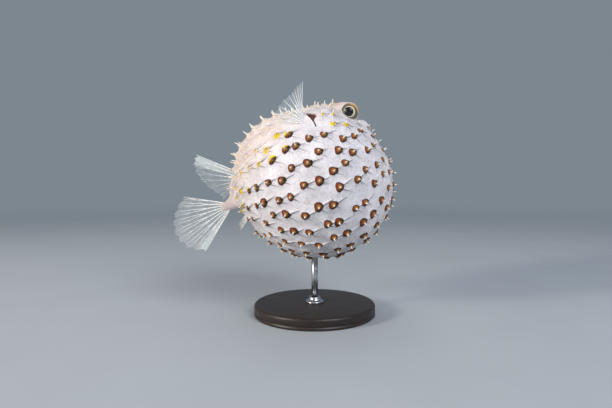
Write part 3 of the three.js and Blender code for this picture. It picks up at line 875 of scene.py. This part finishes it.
def matt_floor():
    """Pale matt laminate with the faintest mottle, which fades into the backdrop far from the stand."""
    material, shader, add = new_material("matt_floor")
    place = add("TexCoord", {}, "Object")
    mottle = add("TexNoise", {"Vector": place, "Scale": per(120), "Detail": 2})
    pale = add("Mix", {0: mottle, 6: "#adb3b6", 7: "#b5bbbe"}, 2, data_type="RGBA")
    feed(shader, {"Base Color": pale, "Roughness": 0.8})
    away = add("VectorMath", {0: place}, "Value", operation="LENGTH")
    fade = add("MapRange", {0: away, 1: 0.5, 2: 3.0}, interpolation_type="SMOOTHSTEP")
    backdrop = add("Emission", {"Color": BACKDROP, "Strength": BACKDROP_GLOW})
    blended = add("MixShader", {0: fade, 1: shader.outputs[0], 2: backdrop})
    feed(material.node_tree.nodes["Material Output"], {"Surface": blended})
    return material


# ---------------------------------------------------------------- pieces of the fish

def unwrap(root):
    """Where a place on the skin lies on its unwrap: round the mouth-to-tail line, and along it."""
    direction = unit(root)
    round_about = atan2(-direction[1], direction[2]) / (2 * pi) + 0.5
    return 0.02 + 0.96 * round_about, 0.02 + 0.96 * (direction[0] + 1) / 2


SPINE_FOOT = 1.1
SPINE_TIP = 0.35
SPINE_SEAT = 0.2        # where a spine's foot is hidden in its tent, as a share of its height
PATCH = 0.0014          # half the size of a spine's patch on the unwrap


def make_spines(material):
    """The bare tips of the spines: slim round points that stand out of their tents."""
    bm = bmesh.new()
    white, up, place, seat = [], [], [], []
    for root in ROOTS:
        outward, ahead, _ = spine_frame(root)
        height = spine_height(root)
        low = height * SPINE_SEAT
        turn = Vector((0, 0, 1)).rotation_difference(Vector(outward)).to_matrix().to_4x4()
        middle = Matrix.Translation(root + outward * (low + height) / 2)
        made = bmesh.ops.create_cone(bm, segments=8, radius1=SPINE_FOOT, radius2=SPINE_TIP,
                                     depth=height - low, cap_ends=True, cap_tris=False, matrix=middle @ turn)
        across, over = unwrap(root)
        for vert in made["verts"]:
            offset = np.array(vert.co) - root
            share = (offset @ outward - low) / (height - low)
            white.append(smooth(0, 25, root[2]))
            up.append(share)
            place.append(root * MM)
            seat.append((across + PATCH * (offset @ ahead), over + PATCH * (2 * share - 1)))
    made = add_piece("spines", bm, to_room(places(bm)), material, slot="skin", white=white, up=up, fish=place)
    corners = np.array([seat[loop.vertex_index] for loop in made.data.loops], np.float32)
    made.data.uv_layers.new(name="OFBake").data.foreach_set("uv", corners.ravel())


def eye_frame(side, toward):
    """An eye's centre and three directions: out along its sight or lids, ahead, and up."""
    out = unit(mirrored(toward, side))
    ahead = np.array([1.0, 0, 0])
    ahead = unit(ahead - out * (ahead @ out))
    return mirrored(EYE_CENTRE, side), out, ahead, np.cross(out, ahead) * -side


CORNEA_RISE = 0.35
CORNEA_SPREAD = 38


def make_eye(word, side, material):
    """An eyeball with a low dome over its pupil; disc tells where on it a place lies."""
    centre, gaze, ahead, up = eye_frame(side, EYE_GAZE)
    bm = bmesh.new()
    bmesh.ops.create_uvsphere(bm, u_segments=72, v_segments=64, radius=1)
    local = places(bm)
    angle = np.degrees(np.arccos(np.clip(local[:, 2], -1, 1)))
    radius = EYE_RADIUS + CORNEA_RISE * np.exp(-(angle / CORNEA_SPREAD) ** 4)
    turned_out = local[:, :1] * ahead + local[:, 1:2] * up + local[:, 2:] * gaze
    points = to_room(centre + turned_out * radius[:, None])
    disc = np.column_stack([local[:, 0], local[:, 1], angle])
    add_piece("eyeball_" + word, bm, points, material, "eye_" + word, slot="eye", disc=disc)


LID_RIM = LID_OPENING + 0.2
LID_BEAD = 0.6
LID_SWELL = 0.6         # how much thicker the bead is in front and above
LID_SEAT = 0.3          # how deep the bead's middle lies in the skin


def make_lid(word, side, material):
    """The lid's edge: a soft bead round the open eye, straight where the cheek covers it."""
    centre, outlet, ahead, up = eye_frame(side, EYE_OUTLET)
    bm = turned([(LID_RIM + LID_BEAD * cos(a), LID_BEAD * sin(a)) for a in np.linspace(0, 2 * pi, 13)], 96)
    local = places(bm)
    # The bead's front and upper side: where it swells, and where a painted glow of light shining through it
    # goes.
    warm = smooth(0.5, 0.95, unit(local[:, :2]) @ (0.97, 0.26))
    ring = unit(local[:, :2]) * LID_RIM
    swell = 1 + LID_SWELL * warm[:, None]
    local = np.column_stack([ring + (local[:, :2] - ring) * swell, local[:, 2:] * swell])
    flat = local[:, :1] * ahead + local[:, 1:2] * up
    low = np.maximum(flat @ lid_line(side), 1e-6)
    flat = flat * np.minimum(1, LID_CHORD / low)[:, None]
    level = np.sqrt(np.maximum((LID_RADIUS - LID_SEAT) ** 2 - np.linalg.norm(flat, axis=1) ** 2, 0))
    points = to_room(centre + flat + (level + local[:, 2])[:, None] * outlet)
    add_piece("lid_" + word, bm, points, material, slot="skin", warm=warm)


LIP_CREASE = 0.04       # how deep its creases are, as a share of a lip


def make_lip(name, offset, material):
    """A lip: a flattened bar that wraps back round the snout, finely creased across."""
    bm = bmesh.new()
    bmesh.ops.create_uvsphere(bm, u_segments=64, v_segments=40, radius=1)
    bmesh.ops.rotate(bm, verts=bm.verts, cent=(0, 0, 0), matrix=Matrix.Rotation(pi / 2, 3, "X"))
    p = places(bm)
    y = p[:, 1] * MOUTH_WIDTH / 2
    crease = 1 - LIP_CREASE * np.cos(y * 2.6) * (1 - p[:, 1] ** 2)
    z = MOUTH_HEIGHT + p[:, 2] * LIP_HALF * crease + offset * (1 - LIP_PINCH * p[:, 1] ** 2)
    x = MOUTH_FRONT - LIP_RECESS - LIP_DEPTH + p[:, 0] * LIP_DEPTH * crease - y * y / LIP_WRAP
    add_piece("flesh_" + name, bm, to_room(np.column_stack([x, y, z])), material, name, slot="lips")


def turned(profile, steps):
    """A bmesh turned about +Z from a profile of (radius, height) pairs."""
    bm = bmesh.new()
    verts = [bm.verts.new((r, 0, z)) for r, z in profile]
    edges = [bm.edges.new(pair) for pair in zip(verts, verts[1:])]
    bmesh.ops.spin(bm, geom=verts + edges, cent=(0, 0, 0), axis=(0, 0, 1), dvec=(0, 0, 0),
                   angle=2 * pi, steps=steps, use_merge=True)
    bmesh.ops.remove_doubles(bm, verts=bm.verts, dist=1e-6)
    return bm


def rounded(radius, height, size, steps=7):
    """The points of a rounded edge: from the side up and over to the top."""
    return [(radius - size * (1 - cos(a)), height - size * (1 - sin(a)))
            for a in np.linspace(0, pi / 2, steps)]


def make_nostril(word, side, material):
    """A nostril: a short soft tube with a rounded rim and a dark bore."""
    wide, tall, wall = NOSTRIL_RADIUS, NOSTRIL_HEIGHT, 0.4
    bore = wide - 2 * wall
    inner = [(2 * (wide - wall) - r, z) for r, z in rounded(wide, tall, wall)[::-1]]
    profile = [(0, -NOSTRIL_ROOT), (wide, -NOSTRIL_ROOT)] + rounded(wide, tall, wall) + inner[1:]
    bm = turned(profile + [(bore, tall * 0.5), (bore * 0.8, 0.3), (0, 0.3)], 28)
    outward = unit(mirrored(NOSTRIL_CENTRE, side))
    turn = Vector((0, 0, 1)).rotation_difference(Vector(outward)).to_matrix()
    points = to_room(skin_points(outward[None])[0] + places(bm) @ np.array(turn).T)
    add_piece("nostril_tube_" + word, bm, points, material, "nostril_" + word, slot="skin")


# ---------------------------------------------------------------- fins

WEB_THICKNESS = 0.3
WEB_DIP = 0.05          # how far its edge dips in between two rays, as a share of a ray
FURROW = 0.25           # how far the web stands out at its rays, near its edge
FIN_WAVE = 0.8
RAY_STEPS = 7
RAY_SIDES = 6
RAY_SPREAD = 0.2        # how far a fork parts, as a share of the way to the next ray
RAY_THINNING = 0.64     # a branch's radius as a share of its stem's
NO_CLOSE_RAYS = (2, 3)  # a stretch that no ray reaches


def fin_point(fin, u, v, curl=0.0, aside=0.0):
    """A point of a fin: u runs from its first ray to its last, v from its root (0) to its edge."""
    root, along, length = fin(u)
    ahead, behind = fin(min(u + 0.01, 1))[0], fin(max(u - 0.01, 0))[0]
    across = unit(np.cross(unit(ahead - behind), along))
    bend = np.cross(along, across) * curl * max(v, 0) ** 2
    wave = FIN_WAVE * sin(5 * u + 3 * v) * v * v
    return root + along * length * v + bend + across * (aside + wave)


def early(u, close):
    """How much sooner a fin fades past its close rays, which lie between two u's."""
    return 1 + 0.7 * float(smooth(close[1], close[1] + 0.12, u))


def make_web(name, fin, rays, curl, sink, close, material, node_name):
    """A fin's web, which dips in a little at its edge between the rays."""
    bm = bmesh.new()
    bmesh.ops.create_grid(bm, x_segments=8 * (rays - 1), y_segments=28, size=0.5)
    out, span, dense, points = [], [], [], []
    for u, v, _ in places(bm) + (0.5, 0.5, 0):
        length = fin(u)[2]
        dip = WEB_DIP * abs(sin(pi * u * (rays - 1)))
        reach = lerp(-sink / length, 1 - dip, v)
        furrow = FURROW * cos(2 * pi * u * (rays - 1)) * v
        points.append(fin_point(fin, u, reach, curl, furrow))
        out.append(max(reach, 0) * early(u, close))
        span.append((u * (rays - 1) * 4 * MM, reach * length * MM, 0))
        dense.append(smooth(-0.04, 0.04, min(u - close[0], close[1] - u)))
    points = to_room(points)
    made = add_piece(name, bm, points, material, node_name, slot="fin", out=out, span=span, dense=dense)
    wall = made.modifiers.new("thickness", "SOLIDIFY")
    wall.thickness = WEB_THICKNESS * MM
    wall.offset = 0


def sweep(bm, path, radii):
    """A round bar along a path: a ring drawn out from point to point, closed at both ends."""
    ring = bmesh.ops.create_circle(bm, cap_ends=False, segments=RAY_SIDES, radius=1)["verts"]
    edges = list({e for v in ring for e in v.link_edges})
    bmesh.ops.contextual_create(bm, geom=edges)
    before = Matrix.Identity(4)
    for i, (point, radius) in enumerate(zip(path, radii)):
        ahead = Vector(path[min(i + 1, len(path) - 1)] - path[max(i - 1, 0)]).normalized()
        turn = Vector((0, 0, 1)).rotation_difference(ahead).to_matrix().to_4x4()
        now = Matrix.Translation(point) @ turn @ Matrix.Diagonal((radius, radius, radius, 1))
        if i:
            grown = bmesh.ops.extrude_edge_only(bm, edges=edges)["geom"]
            ring = [g for g in grown if isinstance(g, bmesh.types.BMVert)]
            edges = [e for e in grown if isinstance(e, bmesh.types.BMEdge)
                     and e.verts[0] in ring and e.verts[1] in ring]
        bmesh.ops.transform(bm, matrix=now @ before.inverted(), verts=ring)
        before = now
    bmesh.ops.contextual_create(bm, geom=edges)


def ray_branches(rays, k, forks):
    """One ray's bars, each as its start and end (u, v), and how many times it has forked."""
    stops = [0.0] + list(forks) + [1.0]
    tips, bars = [k / (rays - 1)], []
    for fork, (start, stop) in enumerate(zip(stops, stops[1:])):
        turns = (-1, 1) if fork else (0,)
        step = RAY_SPREAD / (rays - 1) / 2 ** max(fork - 1, 0)
        grown = [(u, min(max(u + turn * step, 0), 1)) for u in tips for turn in turns]
        bars += [((u, start), (end, stop), fork) for u, end in grown]
        tips = [end for _, end in grown]
    return bars


def make_rays(name, fin, rays, curl, sink, close, forks, stout, last_stout, material):
    """A fin's rays, which fork towards its edge and lie on its web."""
    bm, out = bmesh.new(), []
    for k in range(rays):
        thick = last_stout if k == rays - 1 else stout
        for (u, v), (end_u, end_v), fork in ray_branches(rays, k, forks):
            path, radii = [], []
            for t in np.linspace(0, 1, RAY_STEPS):
                at_u = lerp(u, end_u, sin(t * pi / 2))
                at_v = lerp(v if fork else -sink / fin(u)[2], end_v, t)
                path.append(fin_point(fin, at_u, at_v * 0.99, curl, FURROW * max(at_v, 0)))
                radii.append(thick * RAY_THINNING ** fork * lerp(1, 0.72, t))
                out += [max(at_v, 0) * early(at_u, close)] * RAY_SIDES
            sweep(bm, path, radii)
    add_piece(name, bm, to_room(places(bm)), material, slot="fin", out=out)


def make_fin(kind, end, fin, rays, curl, sink, close, forks, stout, last_stout, web, ray):
    """A fin's web and rays; end tells the fins of a pair apart, and sink is how deep they root."""
    make_web(kind + "_web" + end, fin, rays, curl, sink, close, web, kind + "_fin" + end)
    make_rays(kind + "_rays" + end, fin, rays, curl, sink, close, forks, stout, last_stout, ray)


# ---------------------------------------------------------------- the stand

SHOULDER = 3.2
GROOVE = ((0, 5.2), (0.9, 4.4), (0.9, 3.8), (0, 3.2), (0, 1.2), (1.2, 0))   # in from the side, and height
COLLAR_GAP = 0.3
COLLAR_EDGE = 0.4
COLLAR_FOOT = 2
COLLAR_HOLLOW = 4        # how far the collar's side curves in


def make_stand(wood, steel):
    """A turned base with a rounded shoulder and a groove, a collar and a plain rod."""
    _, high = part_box("stand_base")
    radius, top = high.x / MM, high.z / MM
    side = [(radius - inset, z) for inset, z in GROOVE]
    bm = turned([(0, top)] + rounded(radius, top, SHOULDER)[::-1] + side + [(0, 0)], 160)
    add_piece("stand_turned_base", bm, places(bm) * MM, wood, "stand_base", slot="stand_wood")

    rod_low, rod_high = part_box("stand_rod")
    rod, rod_foot, rod_top = rod_high.x / MM, rod_low.z / MM, rod_high.z / MM
    low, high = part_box("stand_collar")
    outer, foot, cap = high.x / MM, low.z / MM, high.z / MM
    rise = cap - foot - COLLAR_FOOT
    hollow = [(outer - COLLAR_HOLLOW * sin(a), foot + COLLAR_FOOT + rise * (1 - cos(a)))
              for a in np.linspace(0, pi / 2, 8)]
    inner = rod + COLLAR_GAP
    bm = turned([(inner, foot), (outer - COLLAR_EDGE, foot), (outer, foot + COLLAR_EDGE)] + hollow
                + [(inner + COLLAR_EDGE / 2, cap), (inner, cap - COLLAR_EDGE / 2), (inner, foot)], 96)
    add_piece("stand_turned_collar", bm, places(bm) * MM, steel, "stand_collar", slot="stand_steel")

    bm = turned([(0, rod_foot), (rod, rod_foot), (rod, rod_top), (0, rod_top)], 64)
    add_piece("stand_polished_rod", bm, places(bm) * MM, steel, "stand_rod", slot="stand_steel")


# ---------------------------------------------------------------- room, light and camera

BALL_MIDDLE = (0, 0, BALL_HEIGHT * MM)
FRAME_WIDTH = 612          # the rendered frame's width and height, in pixels
FRAME_HEIGHT = 408
BALL_AT = (314.7, 181.1)   # where the middle of the ball is in that frame
CAMERA_BACK = 0.6          # metres from the ball's middle to the camera
FOCAL_PIXELS = 480
LIGHTS = (                 # name, place and width in metres, watts and colour
    ("key", (-1.85, -1.0, 0.74), 0.45, 34, "#fff4ec"),
    ("fill", (1.0, -1.5, 1.45), 1.2, 30, "#f6f6ff"),
    ("top", (0, 0.6, 2.0), 1.2, 6, "#f3f6ff"),
)


def make_floor():
    bm = bmesh.new()
    bmesh.ops.create_circle(bm, cap_ends=True, segments=96, radius=6)
    place_object("floor", bm, matt_floor())


def make_light(name, place, width, watts, colour):
    data = bpy.data.lights.new(name, "AREA")
    data.shape = "DISK"
    data.size = width
    data.energy = watts
    data.color = hex_colour(colour)[:3]
    lamp = bpy.data.objects.new(name, data)
    lamp.location = place
    lamp.rotation_euler = (Vector(BALL_MIDDLE) - Vector(place)).to_track_quat("-Z", "Y").to_euler()
    bpy.context.scene.collection.objects.link(lamp)


def make_world():
    world = bpy.data.worlds.new("studio")
    bpy.context.scene.world = world
    world.use_nodes = True
    feed(world.node_tree.nodes["Background"], {"Color": BACKDROP, "Strength": BACKDROP_GLOW})


def make_camera():
    data = bpy.data.cameras.new("camera")
    data.sensor_width = 36
    data.lens = FOCAL_PIXELS * data.sensor_width / FRAME_WIDTH
    data.shift_x = (FRAME_WIDTH / 2 - BALL_AT[0]) / FRAME_WIDTH
    data.shift_y = (BALL_AT[1] - FRAME_HEIGHT / 2) / FRAME_WIDTH
    data.clip_start = 0.01
    camera = bpy.data.objects.new("camera", data)
    camera.location = (0, -CAMERA_BACK, BALL_HEIGHT * MM)
    camera.rotation_euler = (pi / 2, 0, 0)
    bpy.context.scene.collection.objects.link(camera)
    bpy.context.scene.camera = camera


# ---------------------------------------------------------------- assembly

make_camera()
make_world()
make_floor()
for light in LIGHTS:
    make_light(*light)

make_skin(burrfish_skin())
make_spines(spine_ivory())

eye = burrfish_eye()
# The lid's last colour is a painted glow, as of light shining through its front edge.
lid = wet_flesh("lid_flesh", "#857c60", "#454232", "#dfa855")
lip = wet_flesh("lip_flesh", "#e6cbbf", "#c9a292", "#e6cbbf")
nostril = wet_flesh("nostril_flesh", "#dccabd", "#a88f80", "#dccabd")
web, ray = fin_web(), fin_ray()
for word, side in SIDES:
    make_eye(word, side, eye)
    make_lid(word, side, lid)
    make_nostril(word, side, nostril)
    fin = pectoral_fin(side)
    make_fin("pectoral", "_" + word, fin, 10, 2 * side, 2.5, NO_CLOSE_RAYS, (), 0.58, 0.58, web, ray)
make_lip("lip_upper", LIP_APART, lip)
make_lip("lip_lower", -LIP_APART, lip)
make_fin("caudal", "", caudal_fin, 9, 0, 3, (0.9, 1.1), (0.35, 0.65), 0.85, 1.105, web, ray)
make_fin("dorsal", "", dorsal_fin, 9, 0, 3, (-0.1, 0.24), (0.6,), 0.75, 0.75, web, ray)
make_fin("anal", "", anal_fin, 6, 0, 5, (-0.1, 1.1), (0.55,), 0.4, 0.4, web, ray)
make_stand(stained_wood(), brushed_steel())

bpy.context.scene.view_settings.view_transform = "Standard"
